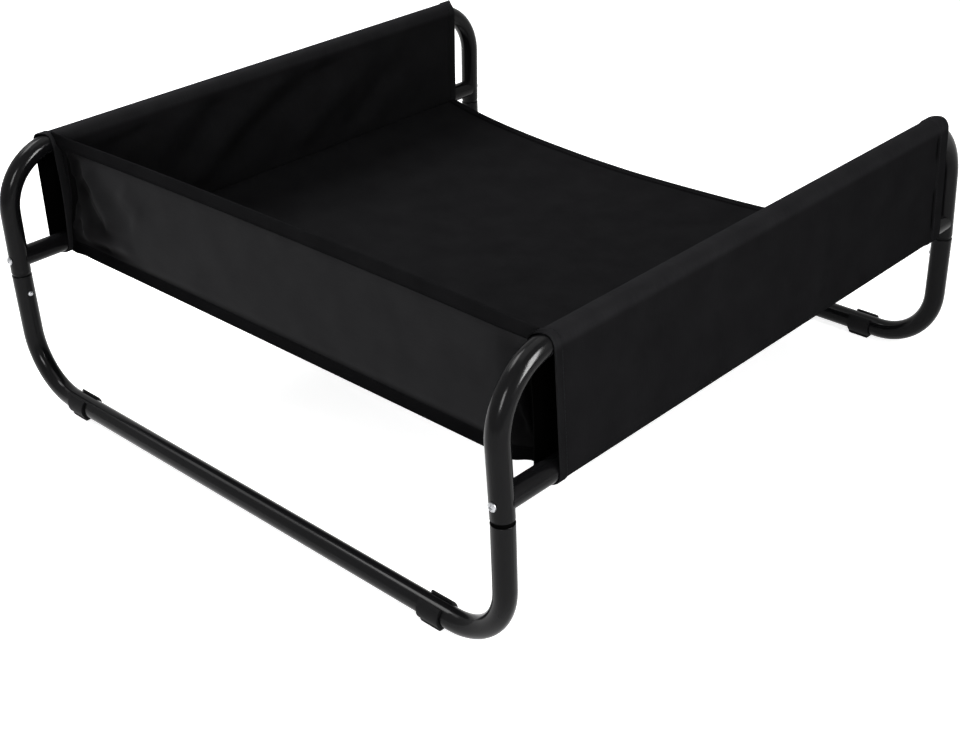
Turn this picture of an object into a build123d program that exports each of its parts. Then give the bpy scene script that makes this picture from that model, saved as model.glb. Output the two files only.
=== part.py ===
"""A walled pet cot: cloth bed, two side sleeves and a back wall on a bolted frame of bent steel tube.

Millimetres, +Z up. The origin is on the floor under the middle of the cot.
-X is the left side, +X the right side, -Y the walled back and +Y the open front.
"""

import os
from math import cos, radians, sin, sqrt, tan

from build123d import *

# Steel tube, the same stock for every bent frame and rail
TUBE_OD = 25.0
TUBE_WALL = 1.2
BEND_RADIUS = 74.0

# Frame: spans are from tube axis to tube axis
SPAN_X = 825.0
SPAN_Y = 815.0
LEG_RISE = 153.0
SIDE_RISE = 157.0
RAIL_RISE = 23.0
SIDE_LEAN = 2.2

# Swaged joint between a side frame and a leg frame
SWAGE_LENGTH = 5.0
NECK_LENGTH = 54.0
NECK_CLEARANCE = 0.15
RIM_ROUND = 0.4

# Spring snap button in each joint
BUTTON_DROP = 23.5
BUTTON_D = 6.5
BUTTON_PROUD = 2.5
BUTTON_FLANGE_D = 9.0
BUTTON_FLANGE = 1.0
FLANGE_CLEARANCE = 0.1
NECK_HOLE_CLEARANCE = 0.1
LEG_HOLE_CLEARANCE = 0.25
SPRING_STRIP = 0.7
SPRING_WIDTH = 7.0
SPRING_ARM = 8.0
SPRING_REACH = 26.0
SPRING_BEND = 3.0
SPRING_CLEARANCE = 0.1

# Lower side rail with its end plugs and screws
RAIL_TRIM = 4.0
COPE_CLEARANCE = 0.1
PLUG_LENGTH = 20.0
PLUG_SETBACK = 1.0
PLUG_CLEARANCE = 0.05
SCREW_D = 5.0
SCREW_LENGTH = 40.0
SCREW_HEAD_D = 10.0
SCREW_HEAD_RIM = 1.2
SCREW_HEAD = 3.0
RECESS_LENGTH = 5.0
RECESS_WIDTH = 1.1
RECESS_DEPTH = 1.6
THREAD_CLEARANCE = 0.05
SCREW_HOLE_CLEARANCE = 0.3
SCREW_SEAT_CLEARANCE = 0.05

# Clip-on feet
FOOT_LENGTH = 30.0
FOOT_WALL = 3.0
FOOT_SOLE = 3.5
FOOT_SOLE_WIDTH = 20.0
FOOT_SOLE_HEIGHT = 8.0
FOOT_GRIP = 55.0
FOOT_CLEARANCE = 0.1
FOOT_TO_BEND = 8.0
FOOT_CHAMFER = 2.5
FOOT_LIP_ROUND = 1.2

# Cloth
CLOTH = 1.2
CLOTH_CLEARANCE = 0.3
SLEEVE_BACK_GAP = 62.0
SLEEVE_FRONT_GAP = 40.5
DECK_EDGE_DROP = 3.0
DECK_BACK_SAG = 3.0
DECK_MIDDLE_SAG = 28.0
DECK_FRONT_SAG = 26.0
DECK_FRONT_INSET = 7.0
WALL_INSET = 7.5
WALL_BELOW_DECK = 6.5
WALL_ABOVE_AXIS = 12.5
HEM_THICKNESS = 2.4
TOP_HEM = 18.0
BOTTOM_HEM = 14.0

# Worked out from the sizes above
tube_r = TUBE_OD / 2
bore_r = tube_r - TUBE_WALL
neck_r = bore_r - NECK_CLEARANCE
half_x = SPAN_X / 2
half_y = SPAN_Y / 2
floor_z = FOOT_SOLE + tube_r
joint_z = floor_z + LEG_RISE
button_z = joint_z - BUTTON_DROP
neck_bore_r = neck_r - TUBE_WALL
sleeve_in = tube_r + CLOTH_CLEARANCE
sleeve_out = sleeve_in + CLOTH
lean_x = sin(radians(SIDE_LEAN))
lean_z = cos(radians(SIDE_LEAN))
rail_z = joint_z + RAIL_RISE * lean_z
top_z = joint_z + SIDE_RISE * lean_z
deck_edge_z = rail_z - DECK_EDGE_DROP
sleeve_back_y = SLEEVE_BACK_GAP - half_y
sleeve_front_y = half_y - SLEEVE_FRONT_GAP

LEFT, RIGHT = -1, 1
BACK, FRONT = -1, 1
SIDES = {"left": LEFT, "right": RIGHT}
ENDS = {"back": BACK, "front": FRONT}


def ring(outer_r, inner_r):
    """The flat section of a tube."""
    return Circle(outer_r) - Circle(inner_r)


def bent_tube(points):
    """Tube of the common stock bent round the corners of a polyline."""
    path = FilletPolyline(*points, radius=BEND_RADIUS)
    start = Plane(origin=path @ 0, z_dir=path % 0)
    return sweep(start * ring(tube_r, bore_r), path=path)


def cross_hole(radius, x, y, z, towards, reach):
    """Round cutter along X, from a tube's axis out through one wall."""
    return Pos(x + towards * reach / 2, y, z) * Rot(0, 90, 0) * Cylinder(radius, reach)


def on_side(side):
    """Frame of a leaning side: its origin is on the line between the two joints."""
    return Pos(side * half_x, 0, joint_z) * Rot(0, -side * SIDE_LEAN, 0)


# --- leg frames ---------------------------------------------------------------------------------


def leg_frame(end):
    """Lower U: a floor run with a bend up to a joint at each end, and a button hole in each leg."""
    y = end * half_y
    tube = bent_tube(
        [
            (-half_x, y, joint_z),
            (-half_x, y, floor_z),
            (half_x, y, floor_z),
            (half_x, y, joint_z),
        ]
    )
    rims = tube.edges().filter_by(GeomType.CIRCLE).filter_by(lambda e: abs(e.radius - tube_r) < 0.01)
    rims = rims.filter_by_position(Axis.Z, joint_z - 0.01, joint_z + 0.01)
    tube = fillet(rims, RIM_ROUND)
    hole_r = BUTTON_D / 2 + LEG_HOLE_CLEARANCE
    for side in SIDES.values():
        tube -= cross_hole(hole_r, side * half_x, y, button_z, -side, TUBE_OD)
    return tube


# --- side frames --------------------------------------------------------------------------------


def neck(side, end):
    """Swaged end: a short cone from the leaning post down to a straight neck inside the leg."""
    place = Pos(side * half_x, end * half_y, joint_z)
    post_foot = place * Rot(0, -side * SIDE_LEAN, 0) * Pos(0, 0, SWAGE_LENGTH)
    outside = loft([post_foot * Circle(tube_r), place * Circle(neck_r)])
    inside = loft([post_foot * Circle(bore_r), place * Circle(neck_bore_r)])
    straight = extrude(place * ring(neck_r, neck_bore_r), amount=-NECK_LENGTH)
    hole_r = BUTTON_D / 2 + NECK_HOLE_CLEARANCE
    straight -= cross_hole(hole_r, side * half_x, end * half_y, button_z, -side, TUBE_OD)
    return (outside - inside) + straight


def side_frame(side):
    """Upper inverted U that leans in over the bed, with its screw holes and two swaged necks."""
    tube = bent_tube(
        [
            (0, -half_y, SWAGE_LENGTH),
            (0, -half_y, SIDE_RISE),
            (0, half_y, SIDE_RISE),
            (0, half_y, SWAGE_LENGTH),
        ]
    )
    hole_r = SCREW_D / 2 + SCREW_HOLE_CLEARANCE
    for end in ENDS.values():
        tube -= Pos(0, end * half_y, RAIL_RISE) * Rot(90, 0, 0) * Cylinder(hole_r, 2 * TUBE_OD)
    frame = on_side(side) * tube
    for end in ENDS.values():
        frame += neck(side, end)
    return frame


# --- snap buttons -------------------------------------------------------------------------------


def snap_button(side, end):
    """Domed pin with a flange that stops against the bore of the neck."""
    pin_r = BUTTON_D / 2
    flange_r = BUTTON_FLANGE_D / 2
    flange_top = sqrt(neck_bore_r**2 - flange_r**2) - FLANGE_CLEARANCE
    tip = tube_r + BUTTON_PROUD
    profile = make_face(
        Line((0, flange_top - BUTTON_FLANGE), (flange_r, flange_top - BUTTON_FLANGE))
        + Line((flange_r, flange_top - BUTTON_FLANGE), (flange_r, flange_top))
        + Line((flange_r, flange_top), (pin_r, flange_top))
        + Line((pin_r, flange_top), (pin_r, tip - pin_r))
        + CenterArc((0, tip - pin_r), pin_r, 0, 90)
        + Line((0, tip), (0, flange_top - BUTTON_FLANGE))
    )
    pin = revolve(Plane.XZ * profile, Axis.Z)
    return Pos(side * half_x, end * half_y, button_z) * Rot(0, -side * 90, 0) * pin


def snap_spring(side, end):
    """Leaf of spring strip folded into a V inside the neck: one arm backs the button's flange."""
    flange_r = BUTTON_FLANGE_D / 2
    flange_back = sqrt(neck_bore_r**2 - flange_r**2) - FLANGE_CLEARANCE - BUTTON_FLANGE
    front = flange_back - SPRING_STRIP / 2 - SPRING_CLEARANCE
    back = -sqrt(neck_bore_r**2 - (SPRING_WIDTH / 2) ** 2) + SPRING_STRIP / 2 + SPRING_CLEARANCE
    line = FilletPolyline(
        (front, SPRING_ARM),
        (front, -SPRING_ARM),
        ((front + back) / 2, -SPRING_REACH),
        (back, SPRING_ARM),
        radius=SPRING_BEND,
    )
    strip = extrude(Plane.XZ * trace(line, SPRING_STRIP), amount=SPRING_WIDTH / 2, both=True)
    turn = 180 if side == RIGHT else 0
    return Pos(side * half_x, end * half_y, button_z) * Rot(0, 0, turn) * strip


# --- lower side rails ---------------------------------------------------------------------------


def rail(side):
    """Straight tube between the posts of one side, its ends coped to the round of each post."""
    half = half_y - RAIL_TRIM
    tube = Rot(90, 0, 0) * extrude(ring(tube_r, bore_r), amount=half, both=True)
    tube = Pos(0, 0, RAIL_RISE) * tube
    for end in ENDS.values():
        tube -= Pos(0, end * half_y, RAIL_RISE) * Cylinder(tube_r + COPE_CLEARANCE, 3 * TUBE_OD)
    return on_side(side) * tube


def rail_plugs(side):
    """Two tapped plugs, one pressed into each end of a rail for its screw."""
    face = half_y - tube_r - PLUG_SETBACK
    plug = ring(bore_r - PLUG_CLEARANCE, SCREW_D / 2 + THREAD_CLEARANCE)
    plugs = []
    for end in ENDS.values():
        place = Pos(0, end * face, RAIL_RISE) * Rot(end * 90, 0, 0)
        plugs.append(on_side(side) * extrude(place * plug, amount=PLUG_LENGTH))
    return Compound(children=plugs)


def screw():
    """Pan head screw with a cross recess, head up, seated on the XY plane."""
    head_r = SCREW_HEAD_D / 2
    shank_r = SCREW_D / 2
    tip = shank_r / 2
    profile = make_face(
        Line((0, -SCREW_LENGTH), (shank_r - tip, -SCREW_LENGTH))
        + Line((shank_r - tip, -SCREW_LENGTH), (shank_r, tip - SCREW_LENGTH))
        + Line((shank_r, tip - SCREW_LENGTH), (shank_r, 0))
        + Line((shank_r, 0), (head_r, 0))
        + Line((head_r, 0), (head_r, SCREW_HEAD_RIM))
        + SagittaArc(
            (head_r, SCREW_HEAD_RIM), (0, SCREW_HEAD), -(SCREW_HEAD - SCREW_HEAD_RIM) / 4
        )
        + Line((0, SCREW_HEAD), (0, -SCREW_LENGTH))
    )
    recess_z = SCREW_HEAD - RECESS_DEPTH / 2
    recess = Box(RECESS_LENGTH, RECESS_WIDTH, RECESS_DEPTH) + Box(
        RECESS_WIDTH, RECESS_LENGTH, RECESS_DEPTH
    )
    return revolve(Plane.XZ * profile, Axis.Z) - Pos(0, 0, recess_z) * recess


def rail_screws():
    """Four alike: each goes in from the outer face of a post, through it and into a rail plug."""
    seat = half_y + tube_r + SCREW_SEAT_CLEARANCE
    screws = []
    for side in SIDES.values():
        for end in ENDS.values():
            place = on_side(side) * Pos(0, end * seat, RAIL_RISE) * Rot(-end * 90, 0, 0)
            screws.append(place * screw())
    return Compound(children=screws)


# --- feet ---------------------------------------------------------------------------------------


def foot(side, end):
    """Moulded C clip that snaps up round the floor run, with a flat sole."""
    inner_r = tube_r + FOOT_CLEARANCE
    outer_r = inner_r + FOOT_WALL
    mouth = 2 * outer_r
    mouth_half = mouth / tan(radians(FOOT_GRIP))
    sole = Pos(0, FOOT_SOLE_HEIGHT / 2 - floor_z) * RectangleRounded(
        FOOT_SOLE_WIDTH, FOOT_SOLE_HEIGHT, FOOT_LIP_ROUND
    )
    section = Circle(outer_r) + sole - Circle(inner_r)
    section -= make_face(Polyline((0, 0), (mouth_half, mouth), (-mouth_half, mouth), (0, 0)))
    lips = section.vertices().sort_by(Axis.Y)[-4:]
    section = fillet(lips, FOOT_LIP_ROUND)
    half = FOOT_LENGTH / 2
    clip = extrude(Plane.YZ * section, amount=half, both=True)
    outline = make_face(
        Polyline(
            (-half, outer_r),
            (-half, FOOT_CHAMFER - floor_z),
            (FOOT_CHAMFER - half, -floor_z),
            (half - FOOT_CHAMFER, -floor_z),
            (half, FOOT_CHAMFER - floor_z),
            (half, outer_r),
            (-half, outer_r),
        )
    )
    clip &= extrude(Plane.XZ * outline, amount=2 * outer_r, both=True)
    x = half_x - BEND_RADIUS - FOOT_TO_BEND - half
    return Pos(side * x, end * half_y, floor_z) * clip


# --- cloth --------------------------------------------------------------------------------------


def sleeve_face_x(z):
    """Half width between the inner layers of the two sleeves at a height, less the clearance."""
    rise = (z - joint_z) / lean_z
    return half_x - rise * lean_x - sleeve_out * lean_z - CLOTH_CLEARANCE


def side_sleeve(side):
    """Loop of cloth round the top tube and the lower rail, open at both ends."""
    spread = SIDE_RISE - RAIL_RISE
    middle = (SIDE_RISE + RAIL_RISE) / 2
    loop = SlotCenterToCenter(spread, 2 * sleeve_out) - SlotCenterToCenter(spread, 2 * sleeve_in)
    loop = Pos(0, sleeve_front_y, middle) * (Plane.XZ * Rot(0, 0, 90) * loop)
    return on_side(side) * extrude(loop, amount=sleeve_front_y - sleeve_back_y)


def deck_section(y, sag):
    """Strip of the bed cloth across the cot, hanging in an arc between its two seams."""
    half = sleeve_face_x(deck_edge_z)
    upper = ThreePointArc((-half, deck_edge_z), (0, deck_edge_z - sag), (half, deck_edge_z))
    under = upper.moved(Location((0, -CLOTH, 0)))
    strip = upper + under + Line(upper @ 0, under @ 0) + Line(upper @ 1, under @ 1)
    return Plane(origin=(0, y, 0), x_dir=(1, 0, 0), z_dir=(0, -1, 0)) * make_face(strip)


wall_y = sleeve_back_y + WALL_INSET
deck_back_y = wall_y + HEM_THICKNESS / 2 + CLOTH_CLEARANCE
deck_front_y = sleeve_front_y - DECK_FRONT_INSET


def bed_deck():
    """Bed cloth: nearly straight where the wall holds it and slack along its free front hem."""
    stations = [
        (deck_back_y, DECK_BACK_SAG),
        ((deck_back_y + deck_front_y) / 2, DECK_MIDDLE_SAG),
        (deck_front_y, DECK_FRONT_SAG),
    ]
    return loft([deck_section(y, sag) for y, sag in stations])


def wall_band(low, high, thickness):
    """Upright strip of the back wall between two heights, as wide as the sleeves allow."""
    corners = [
        (-sleeve_face_x(low), low),
        (sleeve_face_x(low), low),
        (sleeve_face_x(high), high),
        (-sleeve_face_x(high), high),
        (-sleeve_face_x(low), low),
    ]
    plane = Plane(origin=(0, wall_y, 0), x_dir=(1, 0, 0), z_dir=(0, -1, 0))
    return extrude(plane * make_face(Polyline(*corners)), amount=thickness / 2, both=True)


def back_wall():
    """Cloth wall sewn between the two sleeves, with a folded hem above and a bound seam below."""
    low = deck_edge_z - WALL_BELOW_DECK
    high = top_z + WALL_ABOVE_AXIS
    wall = wall_band(low, high, CLOTH)
    wall += wall_band(high - TOP_HEM, high, HEM_THICKNESS)
    wall += wall_band(low, low + BOTTOM_HEM, HEM_THICKNESS)
    return wall


# --- write every piece --------------------------------------------------------------------------

pieces = {
    "rail_screws": rail_screws(),
    "bed_deck": bed_deck(),
    "back_wall": back_wall(),
}
for end_name, end in ENDS.items():
    pieces[f"{end_name}_leg_frame"] = leg_frame(end)
for side_name, side in SIDES.items():
    pieces[f"{side_name}_side_frame"] = side_frame(side)
    pieces[f"{side_name}_rail"] = rail(side)
    pieces[f"{side_name}_rail_plugs"] = rail_plugs(side)
    pieces[f"{side_name}_sleeve"] = side_sleeve(side)
    for end_name, end in ENDS.items():
        corner = f"{end_name}_{side_name}"
        pieces[f"{corner}_snap_button"] = snap_button(side, end)
        pieces[f"{corner}_snap_spring"] = snap_spring(side, end)
        pieces[f"{corner}_foot"] = foot(side, end)

os.makedirs("parts", exist_ok=True)
for name, shape in pieces.items():
    export_step(shape, f"parts/{name}.step")
    print(name, round(shape.volume), "mm3")
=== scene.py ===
# %% [markdown]
# # A walled pet cot: black cloth on bent steel tube
# The steel frame, its buttons, screws and feet come ready made from the CAD model, and keep
# their shapes. What this lesson makes is everything that the eye judges: the light, the finishes,
# and the sewn cloth, which is four sheets. Two are sleeves slipped over the side frames, one is
# the bed between them, and one is the wall across the back.

# %% Load the frame
from math import atan2, cos, hypot, pi, sin

import bpy
import numpy as np
from mathutils import Matrix, Vector


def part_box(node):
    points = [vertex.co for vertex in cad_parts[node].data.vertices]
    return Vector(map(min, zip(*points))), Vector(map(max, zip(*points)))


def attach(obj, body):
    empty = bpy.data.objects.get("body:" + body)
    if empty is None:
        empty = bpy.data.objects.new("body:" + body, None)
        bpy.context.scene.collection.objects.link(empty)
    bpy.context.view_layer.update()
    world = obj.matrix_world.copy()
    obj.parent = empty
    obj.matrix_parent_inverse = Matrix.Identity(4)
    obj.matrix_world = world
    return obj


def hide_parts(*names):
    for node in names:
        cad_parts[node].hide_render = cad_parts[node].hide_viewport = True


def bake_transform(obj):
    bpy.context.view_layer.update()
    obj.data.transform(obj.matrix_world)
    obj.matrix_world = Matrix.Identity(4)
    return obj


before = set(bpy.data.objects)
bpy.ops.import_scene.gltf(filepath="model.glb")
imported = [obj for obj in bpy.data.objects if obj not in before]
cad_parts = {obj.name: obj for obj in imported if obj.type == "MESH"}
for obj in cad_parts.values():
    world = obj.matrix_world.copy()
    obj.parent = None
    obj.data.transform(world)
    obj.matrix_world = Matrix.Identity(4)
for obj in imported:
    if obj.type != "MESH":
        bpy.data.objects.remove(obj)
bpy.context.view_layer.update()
MM = 0.001

# %% [markdown]
# ## The camera
# A product like this is shown from a little above its near corner, so that the wall, the bed and
# both sleeves are seen at once. The camera is set with three directions instead of angles: where
# it looks, what is to its right, and what is above. It tips down to its right by two degrees.

# %% Set the camera
LENS_MM = 56.64
CAMERA_AT = Vector((1.2075, -1.2356, 0.9797))
LOOKING = Vector((-0.60982, 0.61789, -0.49631)).normalized()
TO_THE_RIGHT = Vector((0.7250, 0.6879, -0.0343))

camera = bpy.data.objects.new("camera", bpy.data.cameras.new("camera"))
bpy.context.scene.collection.objects.link(camera)
camera.data.lens = LENS_MM
camera.data.sensor_width = 36.0
right = (TO_THE_RIGHT - TO_THE_RIGHT.dot(LOOKING) * LOOKING).normalized()
above = right.cross(LOOKING)
turn = Matrix((right, above, -LOOKING)).transposed()
camera.matrix_world = Matrix.Translation(CAMERA_AT) @ turn.to_4x4()
bpy.context.scene.camera = camera
bpy.context.scene.view_settings.view_transform = "Standard"
print("camera is", round(CAMERA_AT.length, 2), "m from the middle of the floor")

# %% [markdown]
# ## Nodes and colours
# Every finish below is a small graph of nodes. One function adds a node, sets it and links it, so
# a finish reads as a list. Colours are written as the hex values that a painter would pick from a
# swatch, and one function turns them into the linear values that light is worked out in.

# %% Helpers for finishes
def linear(swatch):
    """Linear colour of an sRGB hex value such as "1b1b1c"."""
    parts = [int(swatch[i:i + 2], 16) / 255 for i in (0, 2, 4)]
    return [p / 12.92 if p <= 0.04045 else ((p + 0.055) / 1.055) ** 2.4 for p in parts] + [1.0]


def node(graph, kind, links=None, **settings):
    """Adds a node. Settings that name a socket set it, others set the node, and links feed sockets."""
    made = graph.nodes.new(kind)
    for name, value in settings.items():
        if hasattr(made, name):
            setattr(made, name, value)
    for name, value in settings.items():
        if not hasattr(made, name):
            made.inputs[name.replace("_", " ")].default_value = value
    for name, source in (links or {}).items():
        graph.links.new(source, made.inputs[name])
    return made


def finish(name):
    """A new material, with its graph and its surface shader, ready to set."""
    material = bpy.data.materials.new(name)
    material.use_nodes = True
    graph = material.node_tree
    return material, graph, graph.nodes["Principled BSDF"]


def dress(cad_node, material):
    """Gives a CAD node a finish, and leaves its shape alone."""
    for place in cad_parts[cad_node].material_slots:
        place.material = material


# %% [markdown]
# ## The room
# The floor and the backdrop are plain white. A white floor that only reflected its lamps would
# look grey, so it gets a light of its own for the camera, and it still keeps the cot's shadow.
# Metal and clear coats see the same white room in their reflections.

# %% Make the floor and the room
def seen_or_mirrored(graph):
    """A socket that is 1 where the camera sees a thing, straight or in a mirror or a lens, and else 0."""
    ray = node(graph, "ShaderNodeLightPath")
    seen = node(graph, "ShaderNodeMath", operation="MAXIMUM")
    graph.links.new(ray.outputs["Is Camera Ray"], seen.inputs[0])
    graph.links.new(ray.outputs["Is Transmission Ray"], seen.inputs[1])
    shown = node(graph, "ShaderNodeMath", operation="MAXIMUM")
    graph.links.new(seen.outputs[0], shown.inputs[0])
    graph.links.new(ray.outputs["Is Glossy Ray"], shown.inputs[1])
    return shown.outputs[0]


FLOOR_REACH, FLOOR_DROP = 14.0, 0.5 * MM
floor_mesh = bpy.data.meshes.new("floor")
corners = [(x * FLOOR_REACH, y * FLOOR_REACH, -FLOOR_DROP) for x, y in ((-1, -1), (1, -1), (1, 1), (-1, 1))]
floor_mesh.from_pydata(corners, [], [(0, 1, 2, 3)])
floor = bpy.data.objects.new("floor", floor_mesh)
bpy.context.scene.collection.objects.link(floor)

FLOOR_OWN_LIGHT = 0.82
paint = bpy.data.materials.new("white_floor_paint")
paint.use_nodes = True
graph = paint.node_tree
graph.nodes.clear()
chalk = node(graph, "ShaderNodeBsdfDiffuse", Color=linear("e6e6e6"))
own_light = [FLOOR_OWN_LIGHT] * 3 + [1.0]
shine = node(graph, "ShaderNodeEmission", {"Strength": seen_or_mirrored(graph)}, Color=own_light)
both = node(graph, "ShaderNodeAddShader")
graph.links.new(chalk.outputs[0], both.inputs[0])
graph.links.new(shine.outputs[0], both.inputs[1])
node(graph, "ShaderNodeOutputMaterial", {"Surface": both.outputs[0]})
floor_mesh.materials.append(paint)

ROOM_LIGHT = 0.02
world = bpy.data.worlds.new("white_room")
bpy.context.scene.world = world
world.use_nodes = True
graph = world.node_tree
graph.nodes.clear()
level = node(graph, "ShaderNodeMapRange", {"Value": seen_or_mirrored(graph)}, To_Min=ROOM_LIGHT, To_Max=1.0)
sky = node(graph, "ShaderNodeBackground", {"Strength": level.outputs[0]}, Color=[1, 1, 1, 1])
node(graph, "ShaderNodeOutputWorld", {"Surface": sky.outputs[0]})
print("room light", ROOM_LIGHT, "and 1.0 where it is seen or mirrored")

# %% [markdown]
# ## The lamps
# Six soft lamps light the cloth. Two stand high on the left, so that the left sleeve shades the bed
# beside it and the folds in the wall are lit from one side. One faces the wall, two light the
# outside of the right sleeve, and a weak one hangs overhead. Four reflector cards light no cloth:
# they only show as the bright streaks along the tubes.

# %% Hang the lamps
def lamp(name, place, target, size, power, mirrored=True, lights=True):
    """A soft rectangular lamp that faces a point. It may leave no mirror image, or light no cloth."""
    light = bpy.data.lights.new(name, "AREA")
    light.shape = "RECTANGLE"
    light.size, light.size_y = size
    light.energy = power
    hung = bpy.data.objects.new(name, light)
    bpy.context.scene.collection.objects.link(hung)
    aim = (Vector(target) - Vector(place)).to_track_quat("-Z", "Y")
    hung.matrix_world = Matrix.Translation(place) @ aim.to_matrix().to_4x4()
    hung.visible_glossy, hung.visible_diffuse = mirrored, lights


lamp("left_high", (-1.55, -0.5, 2.05), (0, 0, 0.2), (0.7, 0.9), 38, mirrored=False)
lamp("left_low", (-1.7, -0.9, 1.5), (0, 0, 0.2), (0.8, 0.8), 34, mirrored=False)
lamp("wall_side", (1.0, -1.95, 1.05), (0.1, 0, 0.2), (0.35, 0.9), 15, mirrored=False)
lamp("right_far", (1.85, 0.13, 0.87), (0, 0, 0.2), (0.6, 0.8), 8.5, mirrored=False)
lamp("right_near", (1.7, -0.9, 0.6), (0.3, -0.1, 0.2), (0.8, 0.8), 10, mirrored=False)
lamp("overhead", (0.0, 0.0, 2.4), (0, 0, 0.2), (1.6, 1.6), 15)
lamp("card_left", (-1.0, -0.6, 2.05), (0, 0, 0.2), (1.0, 0.6), 30, lights=False)
lamp("card_far_left", (-1.95, -0.55, 1.95), (0, 0, 0.2), (0.8, 0.6), 6, lights=False)
lamp("card_wall_side", (1.2, -2.1, 1.3), (0.1, 0, 0.2), (0.5, 0.8), 42, lights=False)
lamp("card_right", (1.25, -0.12, 0.66), (0, -0.3, 0.3), (0.27, 0.62), 40, lights=False)

# %% [markdown]
# ## Powder-coated steel
# The tubes are mild steel, bent, welded and powder coated in satin black. The powder melts into a
# skin about 0.08 mm thick with a very fine orange peel. It could be drawn as a metal, but the eye
# only meets the coat, so it is a dark plastic with a satin gloss and a fine bump. At each joint the
# drawn-down end of a side frame shows for 5 mm in a recess, and its shade is painted there as painted
# shade: near black and with little shine, darkest at the back right.

# %% Black powder coat
PEEL_MM = 1.1          # real orange peel is nearer 0.5 mm, and would not show
PATCH_MM = 71.43       # clouds where the powder lies thicker
powder, graph, skin = finish("satin_black_powder_coat")
where = node(graph, "ShaderNodeTexCoord")
place = {"Vector": where.outputs["Object"]}
peel = node(graph, "ShaderNodeTexNoise", place, Scale=1 / (PEEL_MM * MM), Detail=2.0)
patch = node(graph, "ShaderNodeTexNoise", place, Scale=1 / (PATCH_MM * MM), Detail=3.0)
gloss = node(graph, "ShaderNodeMapRange", {"Value": patch.outputs["Fac"]}, To_Min=0.13, To_Max=0.19)
tone = node(graph, "ShaderNodeValToRGB", {"Fac": patch.outputs["Fac"]})
tone.color_ramp.elements[0].color = linear("0c0c0d")
tone.color_ramp.elements[1].color = linear("101011")
bump = node(graph, "ShaderNodeBump", {"Height": peel.outputs["Fac"]}, Strength=0.18, Distance=0.06 * MM)
graph.links.new(bump.outputs[0], skin.inputs["Normal"])
skin.inputs["IOR"].default_value = 1.5
print("orange peel every", PEEL_MM, "mm, in clouds of", round(PATCH_MM), "mm")

# %% Painted shade on the necks
NECK_Z, NECK_HALF = 171.5 * MM, 2.6 * MM
BACK_RIGHT = (0.3, 0.5)        # X less Y in metres: below the first at the other three joints
height = node(graph, "ShaderNodeSeparateXYZ", place)
neck = node(graph, "ShaderNodeMath", {"Value": height.outputs["Z"]}, operation="COMPARE")
neck.inputs[1].default_value, neck.inputs[2].default_value = NECK_Z, NECK_HALF
across = node(graph, "ShaderNodeMath", {"Value": height.outputs["X"]}, operation="SUBTRACT")
graph.links.new(height.outputs["Y"], across.inputs[1])
# Painted shade on the necks is full at the back right joint and 0.4 of that at the other three
neck_shade_by_corner = node(
    graph, "ShaderNodeMapRange", {"Value": across.outputs[0]},
    From_Min=BACK_RIGHT[0], From_Max=BACK_RIGHT[1], To_Min=0.4, To_Max=1.0)
# Painted shade in the neck's recess: the colour goes near black, the specular level drops and the roughness rises
neck_shade = node(graph, "ShaderNodeMath", {"Value": neck.outputs[0]}, operation="MULTIPLY")
graph.links.new(neck_shade_by_corner.outputs[0], neck_shade.inputs[1])
neck_shade_gloss = node(graph, "ShaderNodeMapRange", {"Value": neck_shade.outputs[0]}, To_Min=0.075, To_Max=0.01)
dull = node(graph, "ShaderNodeMath", {"Value": gloss.outputs[0]}, operation="MAXIMUM")
graph.links.new(neck_shade.outputs[0], dull.inputs[1])
coat = node(graph, "ShaderNodeMix", {"Factor": neck_shade.outputs[0]}, data_type="RGBA")
graph.links.new(tone.outputs["Color"], coat.inputs[6])
coat.inputs[7].default_value = linear("020202")
graph.links.new(coat.outputs[2], skin.inputs["Base Color"])
graph.links.new(dull.outputs[0], skin.inputs["Roughness"])
graph.links.new(neck_shade_gloss.outputs[0], skin.inputs["Specular IOR Level"])

TUBES = [f"{end}_leg_frame" for end in ("back", "front")]
TUBES += [f"{side}_{tube}" for side in ("left", "right") for tube in ("side_frame", "rail")]
for piece in TUBES:
    dress(piece, powder)
print("powder coat on", len(TUBES), "tubes")

# %% [markdown]
# ## Moulded feet and rail plugs
# The feet are clips of moulded polypropylene with a spark-eroded matt face, and the plugs in the
# rail ends are nylon. Both are soft-looking plastics: rough, and grained like fine leather.

# %% Foot plastic and nylon
GRAIN_MM = 0.9         # real spark erosion is nearer 0.2 mm, and would not show
CLOUD_MM = 3.125       # flow marks in the nylon
GRAIN_DEPTH = 0.08 * MM


def moulded(name, kind, socket, swatches, relief, rough, ior, **pattern):
    """A moulded plastic. One pattern gives it both its grain and the share of its two tones."""
    plastic, graph, skin = finish(name)
    where = node(graph, "ShaderNodeTexCoord")
    grain = node(graph, kind, {"Vector": where.outputs["Object"]}, **pattern)
    bump = node(graph, "ShaderNodeBump", {"Height": grain.outputs[socket]}, Strength=relief, Distance=GRAIN_DEPTH)
    tone = node(graph, "ShaderNodeValToRGB", {"Fac": grain.outputs[socket]})
    for stop, swatch in zip(tone.color_ramp.elements, swatches):
        stop.color = linear(swatch)
    graph.links.new(tone.outputs["Color"], skin.inputs["Base Color"])
    graph.links.new(bump.outputs[0], skin.inputs["Normal"])
    skin.inputs["Roughness"].default_value = rough
    skin.inputs["IOR"].default_value = ior
    return plastic, skin


matt, skin = moulded(
    "matt_moulded_polypropylene", "ShaderNodeTexVoronoi", "Distance", ("101011", "0b0b0c"),
    relief=0.25, rough=0.6, ior=1.49, Scale=1 / (GRAIN_MM * MM))
skin.inputs["Specular IOR Level"].default_value = 0.06
nylon, skin = moulded(
    "moulded_nylon", "ShaderNodeTexNoise", "Fac", ("2a2a2a", "383838"),
    relief=0.2, rough=0.5, ior=1.53, Scale=1 / (CLOUD_MM * MM), Detail=3.0)

FEET = [f"{end}_{side}_foot" for end in ("back", "front") for side in ("left", "right")]
for piece in FEET:
    dress(piece, matt)
for side in ("left", "right"):
    dress(f"{side}_rail_plugs", nylon)
print("feet:", FEET)

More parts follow.
